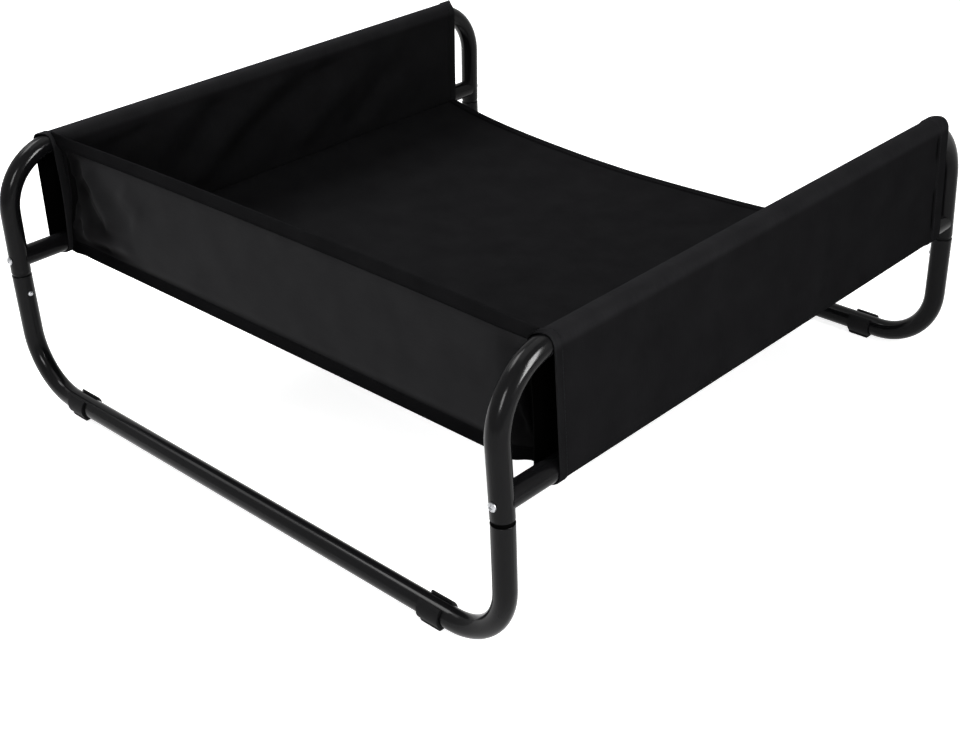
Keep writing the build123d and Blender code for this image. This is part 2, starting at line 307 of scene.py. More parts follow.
# %% [markdown]
# ## Zinc plate and spring steel
# The screws and the snap buttons are plated with bright zinc, which is a slightly blue metal with
# a soft shine. The springs inside the tubes are bare oiled strip. Both are true metals, so their
# colour is their reflection, and their brushing is drawn as stretched noise in the roughness.

# %% Metals
BRUSH_MM = (0.5556, 0.5556, 5.0)       # streaks as wide as they need to show, and 5 mm long


def brushed(name, dark, light, rough):
    """A brushed metal: its two tones, and its lowest and highest roughness."""
    metal, graph, skin = finish(name)
    where = node(graph, "ShaderNodeTexCoord")
    streaks = [1 / (size * MM) for size in BRUSH_MM]
    along_z = node(graph, "ShaderNodeMapping", {"Vector": where.outputs["Object"]}, Scale=streaks)
    brush = node(graph, "ShaderNodeTexNoise", {"Vector": along_z.outputs[0]}, Scale=1.0, Detail=3.0)
    gloss = node(graph, "ShaderNodeMapRange", {"Value": brush.outputs["Fac"]}, To_Min=rough[0], To_Max=rough[1])
    tone = node(graph, "ShaderNodeValToRGB", {"Fac": brush.outputs["Fac"]})
    for stop, swatch in zip(tone.color_ramp.elements, (dark, light)):
        stop.color = linear(swatch)
    graph.links.new(tone.outputs["Color"], skin.inputs["Base Color"])
    graph.links.new(gloss.outputs[0], skin.inputs["Roughness"])
    skin.inputs["Metallic"].default_value = 1.0
    return metal


zinc = brushed("bright_zinc_plate", "8f9093", "b4b5b8", (0.22, 0.36))
strip = brushed("oiled_spring_strip", "8d9094", "a9acb0", (0.25, 0.4))
dress("rail_screws", zinc)
CORNERS = [f"{end}_{side}" for end in ("back", "front") for side in ("left", "right")]
for corner in CORNERS:
    dress(f"{corner}_snap_button", zinc)
print("metals:", zinc.name, strip.name)

# %% [markdown]
# ## Springs that give
# Each button is backed by a strip of spring steel folded into a V inside the tube's neck. When the
# button is pressed, the arm behind it goes with it, the arm against the tube stays, and the fold
# takes up the rest. Each spring is drawn as a copy of its own CAD mesh with the spring steel finish,
# keeping the CAD shape, and the CAD node is hidden. The gap between the inner faces of the arms is printed.

# %% Copy each spring
STRIP_THICK = 0.7 * MM
for corner in CORNERS:
    cad_name = f"{corner}_snap_spring"
    leaf = bpy.data.objects.new(f"{corner}_spring_leaf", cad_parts[cad_name].data.copy())
    bpy.context.scene.collection.objects.link(leaf)
    leaf.data.materials.clear()
    leaf.data.materials.append(strip)
    low, high = (Vector(end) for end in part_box(cad_name))
    low.x += STRIP_THICK
    high.x -= STRIP_THICK
    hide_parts(cad_name)
    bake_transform(leaf)
print("each spring closes over", round((high.x - low.x) / MM, 1), "mm")

# %% [markdown]
# ## The two sides of the cloth
# All the cloth is one stock: woven polyester of the kind sold as 600 denier Oxford, coated on its
# back so that it sheds water. The woven face is matt, and the coated back is smoother and paler,
# like satin. A plain weave is drawn from two sets of round threads, and a checker says which set
# lies on top. The weave follows the cloth and not the room, so it reads a place in metres that each
# sheet carries with it. It carries a factor on its colour as well: 1 on plain cloth, more as a painted
# highlight where it lies over a tube, and less as painted shade in gathered corners, creases and
# partings, where it is also rougher. The same factor gives hems a darker tone and threads painted shade.

# %% Woven face and coated back
THREAD_MM = 1.1        # the real threads are 0.45 mm apart, and would not show
WAVE_SHARE = 0.314     # a wave repeats every 0.314 of its scale, and a checker changes every 1
SLUB_MM = (16.667, 1.1111)     # an uneven thread, along and across
BLEND_MM = 45.4545     # slow clouds in the dye


def cloth_finish(name, dark, light, rough, weave_depth, gloss=0.0):
    """One side of the cloth: its two tones, its roughness, the depth of its weave in mm and its gloss."""
    cloth, graph, skin = finish(name)
    place = node(graph, "ShaderNodeAttribute", attribute_name="cloth")
    on_cloth = {"Vector": place.outputs["Vector"]}
    pitch = WAVE_SHARE / (THREAD_MM * MM)
    warp = node(graph, "ShaderNodeTexWave", on_cloth, bands_direction="X", Scale=pitch)
    weft = node(graph, "ShaderNodeTexWave", on_cloth, bands_direction="Y", Scale=pitch)
    over = node(graph, "ShaderNodeTexChecker", on_cloth, Scale=1 / (THREAD_MM * MM))
    weave = node(graph, "ShaderNodeMix")
    for socket, source in ((0, over), (2, warp), (3, weft)):
        graph.links.new(source.outputs["Fac"], weave.inputs[socket])
    threads = [1 / (size * MM) for size in SLUB_MM] + [1.0]
    slub = node(graph, "ShaderNodeMapping", on_cloth, Scale=threads)
    uneven = node(graph, "ShaderNodeTexNoise", {"Vector": slub.outputs[0]}, Scale=1.0, Detail=4.0)
    cloudy = node(graph, "ShaderNodeTexNoise", on_cloth, Scale=1 / (BLEND_MM * MM), Detail=3.0)
    mixed = node(graph, "ShaderNodeMix", {"A": uneven.outputs["Fac"], "B": cloudy.outputs["Fac"]}, Factor=0.6)
    tone = node(graph, "ShaderNodeValToRGB", {"Fac": mixed.outputs[0]})
    for stop, position, swatch in zip(tone.color_ramp.elements, (0.3, 0.7), (dark, light)):
        stop.position, stop.color = position, linear(swatch)
    bump = node(graph, "ShaderNodeBump", {"Height": weave.outputs[0]}, Strength=1.0, Distance=weave_depth * MM)
    # This attribute scales the colour: painted highlight over the tubes, painted shade in corners, creases, partings
    # and on threads, and a darker tone on some hems; lower values are also rougher
    painted_light_and_tone = node(graph, "ShaderNodeAttribute", attribute_name="painted_light_and_tone")
    with_painted_light = node(graph, "ShaderNodeVectorMath", {"Vector": tone.outputs["Color"]}, operation="SCALE")
    graph.links.new(painted_light_and_tone.outputs["Fac"], with_painted_light.inputs["Scale"])
    shine = node(graph, "ShaderNodeMapRange", {"Value": painted_light_and_tone.outputs["Fac"]}, To_Min=1.0, To_Max=rough)
    graph.links.new(with_painted_light.outputs[0], skin.inputs["Base Color"])
    graph.links.new(shine.outputs[0], skin.inputs["Roughness"])
    graph.links.new(bump.outputs[0], skin.inputs["Normal"])
    skin.inputs["Specular IOR Level"].default_value = gloss
    return cloth


woven_face = cloth_finish("black_polyester_woven_face", "161617", "1c1c1d", 0.6, 0.03)
coated_back = cloth_finish("black_polyester_coated_back", "1a1a1b", "212122", 0.5, 0.01, gloss=0.012)
# The inside of a sleeve loop is the same cloth, given a near-black finish as painted shade, because light does not
# reach it
sleeve_inside_painted_shade = cloth_finish("black_polyester_inside_painted_shade", "020202", "040404", 0.7, 0.01)
thread_black = cloth_finish("black_sewing_thread", "1e1e1f", "28282a", 0.6, 0.03)
print("cloth threads every", THREAD_MM, "mm")

# %% [markdown]
# ## Where the cloth hangs
# The sleeves go round the top tube of a side frame and the rail below it. Both axes are read from
# the boxes of the CAD pieces, and so are the ends of the sleeves, the bed and the wall.

# %% Read the frame
rail_low, rail_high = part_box("right_rail")
side_low, side_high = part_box("right_side_frame")
TUBE_R = (rail_high.z - rail_low.z) / 2
RAIL_X, RAIL_Z = (rail_low.x + rail_high.x) / 2, (rail_low.z + rail_high.z) / 2
TOP_X, TOP_Z = side_low.x + TUBE_R, side_high.z - TUBE_R
LEAN = atan2(RAIL_X - TOP_X, TOP_Z - RAIL_Z)
SPREAD = hypot(RAIL_X - TOP_X, TOP_Z - RAIL_Z)
print("tube radius", round(TUBE_R / MM, 2), "mm, rail to top tube", round(SPREAD / MM, 1), "mm")
print("the sides lean out by", round(LEAN * 180 / pi, 2), "degrees")

# %% [markdown]
# ## Cloth as a grid
# Each sheet starts as a grid of points on its middle surface, kept as a numpy array, because folds
# are easiest to add to a whole array at once. Places along an edge are 2 to 5 mm apart, and closer
# beside a hem or a stitch line, where the cloth changes in less than a millimetre.

# %% Helpers for the grid
CLOTH_MM = 0.9
HEM_STEP = 0.6 * MM        # the cloth steps down from a hem over this width
STITCH_IN = 1.6 * MM       # and is sewn this far inside the step


def stations(low, high, pitch, marks=()):
    """Places along an edge in metres: one every pitch, and more beside each mark."""
    places = list(np.linspace(low, high, round((high - low) / pitch) + 1))
    for mark in marks:
        places += [mark + step * MM for step in (-2.2, -1.2, -0.6, -0.25, 0, 0.25, 0.6, 1.2, 2.2)]
    places = np.array(sorted(p for p in places if low <= p <= high))
    return places[np.concatenate([[True], np.diff(places) > 0.1 * MM])]


def facing(middle, closed=False):
    """Unit direction square to the cloth at every point of its grid."""
    down = np.roll(middle, -1, 0) - np.roll(middle, 1, 0) if closed else np.gradient(middle, axis=0)
    square = np.cross(down, np.gradient(middle, axis=1))
    return square / np.linalg.norm(square, axis=2, keepdims=True)


def smooth(value, low, high):
    """0 below low, 1 above high, and an even S between them."""
    share = np.clip((value - low) / (high - low), 0, 1)
    return share * share * (3 - 2 * share)


def bell(value, middle, width):
    """1 at the middle and falling away on both sides of it."""
    return np.exp(-((value - middle) / width) ** 2)


def in_hem(distance, hem):
    """1 on the doubled cloth of a hem and 0 past it. Distance is from the folded edge."""
    return 1 - smooth(distance, hem - HEM_STEP, hem)


def rounded(distance):
    """Share of the full thickness at a distance from a cut or folded edge, so that it ends round."""
    share = np.clip(distance / (1.1 * MM), 0, 1)
    return np.maximum(np.sqrt(1 - (1 - share) ** 2), 0.12)


# %% [markdown]
# ## Folds
# A fold is a soft ridge or hollow that follows a line drawn on the cloth and dies away at its ends.
# The line is given by three or four places in millimetres, a curve is passed through them, and the
# height falls off as a bell on both sides. Between the folds no cloth is quite flat, so a slow,
# seeded unevenness is added.

# %% Helpers for folds
def curve_through(places):
    """Smooth line through a few places, as 25 points in metres."""
    places = np.array(places, float) * MM
    spots = np.concatenate([[0], np.cumsum(np.linalg.norm(np.diff(places, axis=0), axis=1))])
    fit = np.polynomial.polynomial.polyfit(spots / spots[-1], places, min(len(places) - 1, 3))
    return np.polynomial.polynomial.polyval(np.linspace(0, 1, 25), fit).T


def fold(u, v, places, width, height, fade=0.3):
    """Height in metres, at each (u, v), of one fold along a line. Width and height are in mm."""
    line = curve_through(places)
    nearest = np.full(u.shape, np.inf)
    share = np.zeros(u.shape)
    for k in range(len(line) - 1):
        (u0, v0), (du, dv) = line[k], line[k + 1] - line[k]
        t = np.clip(((u - u0) * du + (v - v0) * dv) / (du * du + dv * dv), 0, 1)
        away = np.hypot(u - u0 - t * du, v - v0 - t * dv)
        share = np.where(away < nearest, (k + t) / (len(line) - 1), share)
        nearest = np.minimum(away, nearest)
    ends = smooth(np.minimum(share, 1 - share), 0, fade)
    return height * MM * np.exp(-(nearest / (width * MM)) ** 2) * ends


def unevenness(u, v, size, height, seed):
    """Slow seeded hills and hollows. Size and height are in mm."""
    rng = np.random.default_rng(seed)
    total = np.zeros(u.shape)
    for _ in range(9):
        angle, phase, stretch = rng.uniform(0, pi), rng.uniform(0, 2 * pi), rng.uniform(0.7, 1.6)
        along = u * cos(angle) + v * sin(angle)
        total += np.sin(2 * pi * along / (size * MM * stretch) + phase)
    return height * MM * total / 3


# %% [markdown]
# ## From a grid to a closed piece of cloth
# The grid gets two skins, one on each side of the middle surface, and its open edges are closed, so
# that the piece is a true solid with a thickness. Each skin has its own finish. The place on the
# cloth and a factor on its colour, which holds painted light and hem tones, go into the mesh as
# attributes that the finish reads.

# %% Helpers that make the mesh
def hang(name, mesh):
    """A cloth or thread object made from its mesh, which stays with the frame."""
    made = bpy.data.objects.new(name, mesh)
    bpy.context.scene.collection.objects.link(made)
    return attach(made, "root")


def cloth_piece(name, front, back, place, painted_light_and_tone, front_paint, back_paint, closed=False):
    """A closed mesh from two skins. Paint says, for each grid point, which finish that side has."""
    rows, columns = front.shape[:2]
    skin = rows * columns
    row, column = np.meshgrid(np.arange(rows if closed else rows - 1), np.arange(columns - 1), indexing="ij")
    here, below = row * columns + column, (row + 1) % rows * columns + column
    outer = np.stack([here, below, below + 1, here + 1], -1)
    edges = [(outer[:, 0, 0], outer[:, 0, 1]), (outer[:, -1, 2], outer[:, -1, 3])]
    if not closed:
        edges += [(outer[0, :, 3], outer[0, :, 0]), (outer[-1, :, 1], outer[-1, :, 2])]
    rims = np.concatenate([np.stack([q, p, p + skin, q + skin], -1) for p, q in edges])
    outer = outer.reshape(-1, 4)
    faces = np.concatenate([outer, outer[:, ::-1] + skin, rims])
    paint = [front_paint[row, column].ravel(), back_paint[row, column].ravel(), np.zeros(len(rims), int)]
    mesh = bpy.data.meshes.new(name)
    mesh.from_pydata(np.concatenate([front.reshape(-1, 3), back.reshape(-1, 3)]).tolist(), [], faces.tolist())
    for cloth in (woven_face, coated_back, sleeve_inside_painted_shade):
        mesh.materials.append(cloth)
    mesh.polygons.foreach_set("material_index", np.concatenate(paint).astype(np.int32))
    mesh.polygons.foreach_set("use_smooth", np.ones(len(faces), bool))
    spots = np.concatenate([place.reshape(-1, 2)] * 2)
    spots = np.concatenate([spots, np.zeros((len(spots), 1))], 1).astype(np.float32)
    mesh.attributes.new("cloth", "FLOAT_VECTOR", "POINT").data.foreach_set("vector", spots.ravel())
    # The front skin carries the factor of painted light and tone, and the back skin keeps 1
    with_painted_light = np.concatenate([painted_light_and_tone.ravel(), np.ones(skin)]).astype(np.float32)
    mesh.attributes.new("painted_light_and_tone", "FLOAT", "POINT").data.foreach_set("value", with_painted_light)
    return hang(name, mesh)


# INSIDE is the near-black painted shade finish of a sleeve's inside
WOVEN, COATED, INSIDE = 0, 1, 2


def grid_of(first, second):
    """Two arrays that give, at each grid point, its place along the rows and along the columns."""
    return np.meshgrid(first, second, indexing="ij")


# %% [markdown]
# ## Stitches
# Every hem is held by a row of lockstitch in black thread. Each stitch is a small rounded bar that
# dips into the cloth at both ends. Real thread is about 0.35 mm thick and a stitch about 3.5 mm
# long. The bars are twice as thick, so that the rows can be made out.

# %% Helpers that sew a row
STITCH_MM, STITCH_GAP_MM, THREAD_R_MM = 3.6, 0.9, 0.38
AROUND = np.arange(6) * pi / 3
# Share of the way along a stitch, girth there, and lift off the cloth, both in thread radii
BARS = [(0.0, 0.35, -0.2), (0.14, 0.85, 0.25), (0.5, 1.0, 0.55), (0.86, 0.85, 0.25), (1.0, 0.35, -0.2)]


def stitch(begin, end, up):
    """The points of one stitch: a ring of six round each place of BARS."""
    up = up / np.linalg.norm(up)
    side = np.cross(up, end - begin)
    side /= np.linalg.norm(side)
    points = []
    for share, girth, lift in BARS:
        middle = begin + share * (end - begin) + up * lift * THREAD_R_MM * MM
        points += [middle + girth * THREAD_R_MM * MM * (cos(a) * up + sin(a) * side) for a in AROUND]
    return points


def part_way(walked, steps, values):
    """A place or a direction part of the way along a line."""
    return np.array([np.interp(walked, steps, values[:, k]) for k in range(3)])


def sew(name, rows, painted_light_and_tone):
    """One mesh with all the stitches of a piece. Each row is its points and the ways out of the cloth."""
    sides, rings = len(AROUND), len(BARS)
    walls = [(r * sides + a, r * sides + (a + 1) % sides) for r in range(rings - 1) for a in range(sides)]
    pattern = [[p, q, q + sides, p + sides] for p, q in walls]
    pattern += [list(range(sides))[::-1], list(range((rings - 1) * sides, rings * sides))]
    points, faces = [], []
    for line, out in rows:
        steps = np.concatenate([[0], np.cumsum(np.linalg.norm(np.diff(line, axis=0), axis=1))])
        for begin in np.arange(STITCH_GAP_MM * MM, steps[-1] - STITCH_MM * MM, (STITCH_MM + STITCH_GAP_MM) * MM):
            faces += [[len(points) + p for p in face] for face in pattern]
            ends = [part_way(walked, steps, line) for walked in (begin, begin + STITCH_MM * MM)]
            points += stitch(*ends, part_way(begin, steps, out))
    mesh = bpy.data.meshes.new(name)
    mesh.from_pydata([tuple(p) for p in points], [], faces)
    mesh.materials.append(thread_black)
    # Each piece's thread gets one factor on its colour, which is painted shade below 1
    with_painted_light = np.full(len(points), painted_light_and_tone, np.float32)
    mesh.attributes.new("painted_light_and_tone", "FLOAT", "POINT").data.foreach_set("value", with_painted_light)
    mesh.polygons.foreach_set("use_smooth", np.ones(len(faces), bool))
    print(name, "has", len(faces) // len(pattern), "stitches")
    return hang(name, mesh)


# %% [markdown]
# ## The section of a sleeve
# A sleeve is a loop of cloth. Going round it from under the rail, the cloth climbs the inner face,
# crosses over the top tube, comes down the outer face and goes back under the rail.

# %% Walk round the loop
HALF = CLOTH_MM * MM / 2
LOOP_R = TUBE_R + 0.3 * MM + HALF
QUARTER = pi * LOOP_R / 2
LOOP_LENGTH = 2 * SPREAD + 4 * QUARTER
sleeve_low, sleeve_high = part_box("right_sleeve")


def loop_section(walked):
    """For each distance walked round the loop: how far in, how far up the lean, and the way out."""
    bends = (0, QUARTER + SPREAD, 3 * QUARTER + 2 * SPREAD)
    under, over, back_under = ((walked - bend) / LOOP_R for bend in bends)
    ends = (QUARTER, QUARTER + SPREAD, 3 * QUARTER + SPREAD, 3 * QUARTER + 2 * SPREAD)
    legs = [walked < end for end in ends]
    out_in = np.select(legs, [np.sin(under), 1.0, np.cos(over), -1.0], -np.cos(back_under))
    out_up = np.select(legs, [-np.cos(under), 0.0, np.sin(over), 0.0], -np.sin(back_under))
    climbed = [-LOOP_R * np.cos(under), walked - QUARTER, SPREAD + LOOP_R * np.sin(over), ends[3] - walked]
    up = np.select(legs, climbed, -LOOP_R * np.sin(back_under))
    return LOOP_R * out_in, up, out_in, out_up


def place_on_side(side, inward, up, y):
    """Room position of a place in the leaning plane of a side. Side is -1 on the left, 1 on the right."""
    x = side * (RAIL_X - up * sin(LEAN) - inward * cos(LEAN))
    z = RAIL_Z + up * cos(LEAN) - inward * sin(LEAN)
    return np.stack([x, y, z], -1)


def sleeve_face(z):
    """Half width between the inner faces of the sleeves at a height."""
    up = (z - RAIL_Z) / cos(LEAN)
    beyond = np.maximum(np.maximum(up - SPREAD, -up), 0)
    reach = LOOP_R + HALF
    inward = np.sqrt(np.maximum(reach**2 - beyond**2, (6 * MM) ** 2))
    return RAIL_X - up * sin(LEAN) - inward * cos(LEAN)


print("a sleeve is", round(LOOP_LENGTH / MM), "mm round")

# %% [markdown]
# ## The sleeves
# The bed pulls on the inner layer of each sleeve along its seam, so that layer is drawn into wide
# soft folds that run down from the top tube towards the walled end. The outer layer is nearly
# smooth: it falls straight from the top tube and has only a few faint pulls. Both ends
# are hemmed. The hem of the outer layer stands proud of the body and parts from it in places.

# %% Folds of the sleeves
def inner_folds(y, z):
    """Pulls on the inner layer, in metres, outwards positive: three ridges with hollows between them."""
    pulls = fold(y, z, [(-120, 328), (-170, 286), (-208, 240)], 18, 4.2)
    pulls += fold(y, z, [(-70, 330), (-112, 280), (-165, 226)], 19, -6.8)
    pulls += fold(y, z, [(44, 328), (-38, 287), (-110, 238), (-158, 194)], 20, 5.4, 0.15)
    pulls += fold(y, z, [(150, 322), (60, 290), (-30, 252), (-92, 205)], 21, -7.4, 0.2)
    pulls += fold(y, z, [(214, 316), (148, 277), (85, 242), (20, 200)], 20, 5.6, 0.2)
    pulls += fold(y, z, [(250, 288), (205, 253), (160, 220), (116, 192)], 18, -5.6, 0.2)
    pulls += fold(y, z, [(-165, 332), (-226, 324), (-300, 318)], 9, 3.6, 0.15)
    pulls += fold(y, z, [(-186, 316), (-240, 302), (-290, 296)], 11, -4.0)
    pulls += fold(y, z, [(180, 205), (260, 198), (340, 197)], 12, -1.8)
    return pulls + unevenness(y, z, 120, 0.35, 11)


def outer_folds(y, z):
    """Faint pulls on the outer layer, in metres, outwards positive."""
    pulls = fold(y, z, [(124, 304), (111, 255), (94, 196)], 9, 1.2)
    pulls += fold(y, z, [(296, 310), (304, 240), (309, 200)], 9, 0.8)
    pulls += fold(y, z, [(-60, 205), (-150, 238), (-230, 230)], 30, 0.5)
    return pulls + unevenness(y, z, 150, 0.3, 12)


pulls = inner_folds(*np.meshgrid(np.arange(-300, 300, 10) * MM, np.arange(190, 330, 10) * MM))
print("pulls on the inner layer:", round(float(pulls.min() / MM), 1), "to", round(float(pulls.max() / MM), 1), "mm")

# %% Ends of the sleeves
SLEEVE_LENGTH = sleeve_high.y - sleeve_low.y
SLEEVE_HEM, FRONT_HEM = 11 * MM, 14 * MM


def sleeve_ends(side, inward, up):
    """Where a sleeve starts and stops along the frame round the loop, and how far inside that is."""
    drop = np.clip(1 - up / SPREAD, 0, 1)
    inner = smooth(inward, -0.7 * LOOP_R, 0.7 * LOOP_R)
    outer_start = sleeve_low.y + (4.5 if side > 0 else -7.5) * MM
    inner_start = sleeve_low.y + (-2 if side > 0 else 2) * MM + 2.5 * MM * np.sin(pi * drop)
    start = outer_start + (inner_start - outer_start) * inner
    stop = sleeve_high.y + 5 * MM - 10.5 * MM * inner
    return start, stop, inner


def along_frame(length, start, stop, inner):
    """Where each place along the cut cloth lies on the frame. The front hem is wider outside."""
    left = SLEEVE_LENGTH - length
    front_hem = FRONT_HEM * (1.43 - 0.45 * inner)
    body = (stop - front_hem - start - SLEEVE_HEM) / (SLEEVE_LENGTH - SLEEVE_HEM - FRONT_HEM)
    y = start + SLEEVE_HEM + (length - SLEEVE_HEM) * body
    y = np.where(length < SLEEVE_HEM, start + length, y)
    return np.where(left < FRONT_HEM, stop - left * front_hem / FRONT_HEM, y)


def parted(z, left, inner):
    """1 where the outer front hem has parted from the cloth behind it, at two heights, and else 0."""
    loose = smooth(z, 288 * MM, 298 * MM) * (1 - smooth(z, 316 * MM, 324 * MM))
    loose += smooth(z, 198 * MM, 208 * MM) * (1 - smooth(z, 246 * MM, 258 * MM))
    return bell(left, FRONT_HEM + 0.8 * MM, 1.3 * MM) * loose * (1 - inner)


print("a sleeve runs from", round(sleeve_low.y / MM, 1), "to", round(sleeve_high.y / MM, 1), "mm along the frame")

# %% Sew the sleeves
PARTING_DEPTH = 2.2 * MM


def sleeve_painted_light(side, up, length, inner, slit):
    """Painted light of a sleeve: a painted highlight over the top tube, painted shade in a parting, and painted shade
    just inside the right sleeve's back end.
    """
    # Painted highlight over the top tube, and painted shade in the parting of the outer front hem
    painted_light_and_tone = (1 + 0.75 * smooth(up, SPREAD - 4 * MM, SPREAD + 4 * MM)) * (1 - 0.95 * slit)
    # Painted shade just inside the right sleeve's back end
    shaded = inner * (1 - smooth(length, 3 * MM, 7 * MM)) if side > 0 else 0
    return painted_light_and_tone * (1 - 0.8 * shaded)


def sleeve(side, shift, thread_shade):
    """One sleeve with its hems and stitches. The shift in metres moves the inner folds along."""
    which = "right" if side > 0 else "left"
    walked = np.linspace(0, LOOP_LENGTH, round(LOOP_LENGTH / (2.8 * MM)), endpoint=False)
    along = stations(0, SLEEVE_LENGTH, 4 * MM, (0, SLEEVE_HEM, SLEEVE_LENGTH - FRONT_HEM, SLEEVE_LENGTH))
    walk, length = grid_of(walked, along)
    left = SLEEVE_LENGTH - length
    inward, up, out_in, out_up = loop_section(walk)
    start, stop, inner = sleeve_ends(side, inward, up)
    y, z = along_frame(length, start, stop, inner), RAIL_Z + up * cos(LEAN)
    free = smooth(up, 2 * MM, 26 * MM) * smooth(SPREAD - up, 0, 22 * MM)
    push = np.where(inward > 0, inner_folds(y + shift, z), outer_folds(y, z)) * free
    slit = parted(z, left, inner)
    painted_light_and_tone = sleeve_painted_light(side, up, length, inner, slit)
    hem = np.maximum(in_hem(length, SLEEVE_HEM), in_hem(left, FRONT_HEM))
    groove = bell(length, SLEEVE_HEM - STITCH_IN, 0.8 * MM) + bell(left, FRONT_HEM - STITCH_IN, 0.8 * MM)
    round_end = rounded(np.minimum(length, left))
    front_lift = (HALF + 1.1 * MM * hem) * round_end - 0.4 * MM * groove - (0.3 * MM + PARTING_DEPTH) * slit
    back_lift = HALF * round_end + PARTING_DEPTH * slit
    middle = place_on_side(side, inward + push * out_in, up + push * out_up, y)
    place = np.stack([walk, length], -1)
    if side < 0:
        middle, place, painted_light_and_tone, front_lift, back_lift = (a[:, ::-1] for a in (middle, place, painted_light_and_tone, front_lift, back_lift))
    out = facing(middle, closed=True)
    front, back = middle + out * front_lift[..., None], middle - out * back_lift[..., None]
    paints = np.full(walk.shape, WOVEN), np.full(walk.shape, INSIDE)
    made = cloth_piece(f"{which}_sleeve_cloth", front, back, place, painted_light_and_tone, *paints, closed=True)
    sewn_at = (SLEEVE_HEM - STITCH_IN, SLEEVE_LENGTH - FRONT_HEM + STITCH_IN)
    columns = [int(np.argmin(np.abs(place[0, :, 1] - spot))) for spot in sewn_at]
    thread = sew(f"{made.name}_stitches", [(front[:, c], out[:, c]) for c in columns], thread_shade)
    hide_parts(f"{which}_sleeve")


# The last number is a painted shade factor on each sleeve's thread colour
sleeve(-1, 0.0, 0.5)
sleeve(1, 30 * MM, 0.9)
cut = [round(size / MM) for size in (LOOP_LENGTH, SLEEVE_LENGTH + SLEEVE_HEM + FRONT_HEM)]
print("each sleeve was cut", cut[0], "by", cut[1], "mm")

# %% [markdown]
# ## The bed
# The bed cloth hangs in a shallow trough between its two side seams. At the walled end it is held
# up by the wall, and along its free front hem it is slack. Its edges turn down against the
# sleeves, where they are sewn, and the seam draws small puckers into the cloth beside it. Its front
# hem is folded under and bows in a little between the corners.

# %% Shape of the bed
deck_low, deck_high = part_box("bed_deck")
DECK_EDGE_Z = deck_high.z - HALF
DECK_SEAM_X = deck_high.x + 0.1 * MM
DECK_LENGTH = deck_high.y - deck_low.y
TURN_R, TURN_DOWN, DECK_HEM = 2.5 * MM, 8 * MM, 14 * MM
DECK_FLAT = DECK_SEAM_X - TURN_R
TURN_ROUND = TURN_R * pi / 2
DECK_HALF_CUT = DECK_FLAT + TURN_ROUND + TURN_DOWN
WALL_HALF = 397 * MM
FRONT_BOW = 10 * MM        # the front hem bows in between its corners
PUCKER = 0.45 * MM         # height of the puckers beside a seam
LIFT = 9 * MM              # the back right corner is drawn up by the wall


def wall_bow(x, share):
    """How far the wall stands in from a flat plane, in metres. Share is 0 at its bottom and 1 at its top."""
    across = np.abs(x / WALL_HALF)
    bow = (1 + 5.5 * share) * (1 - across**2.6).clip(0, 1) - 2 * share
    return bow * MM


def deck_sag(y):
    """How far the middle of the bed hangs below its seams, in metres: most a little past half way."""
    share = (y - deck_low.y) / DECK_LENGTH
    return (3 + 77 * share - 54 * share**2) * MM


def bed_shape(length, width):
    """Middle surface of the bed, for places on its flat cloth. Its back edge follows the wall's foot."""
    past = np.abs(width) - DECK_FLAT
    turn = np.clip(past / TURN_R, 0, pi / 2)
    down = np.clip(past - TURN_ROUND, 0, None)
    drop = TURN_R * (1 - np.cos(turn)) + down
    against = np.clip(sleeve_face(DECK_EDGE_Z - drop) - DECK_SEAM_X + 0.1 * MM, 0, 5 * MM) * np.sin(turn)
    x = np.sign(width) * (np.minimum(np.abs(width), DECK_FLAT) + TURN_R * np.sin(turn) + against)
    across = np.minimum(np.abs(x / DECK_SEAM_X), 1)
    y = deck_low.y + length - length / DECK_LENGTH * FRONT_BOW * (1 - across**6)
    y = y + (1 - length / DECK_LENGTH) * wall_bow(x, 0.0)
    seam = np.clip(-past, 0, None)
    wave = np.sin(y / (3.1 * MM) + 2.5 * np.sin(y / (41 * MM)) + x)
    pucker = PUCKER * wave * np.exp(-seam / (11 * MM)) * (down == 0)
    slack = unevenness(x, y, 210, 0.4, 21) + unevenness(x, y, 90, 0.07, 22)
    z = DECK_EDGE_Z - deck_sag(y) * (1 - across**2) - drop + smooth(seam, 0, 60 * MM) * slack + pucker
    z = z + LIFT * smooth(x, 362 * MM, 393 * MM) * bell(y, deck_low.y, 22 * MM)
    return np.stack([x, y, z], -1)


sags = [round(deck_sag(y) / MM) for y in (deck_low.y, 0.0, deck_high.y)]
print("the middle of the bed hangs", sags, "mm at the back, half way and at the front")

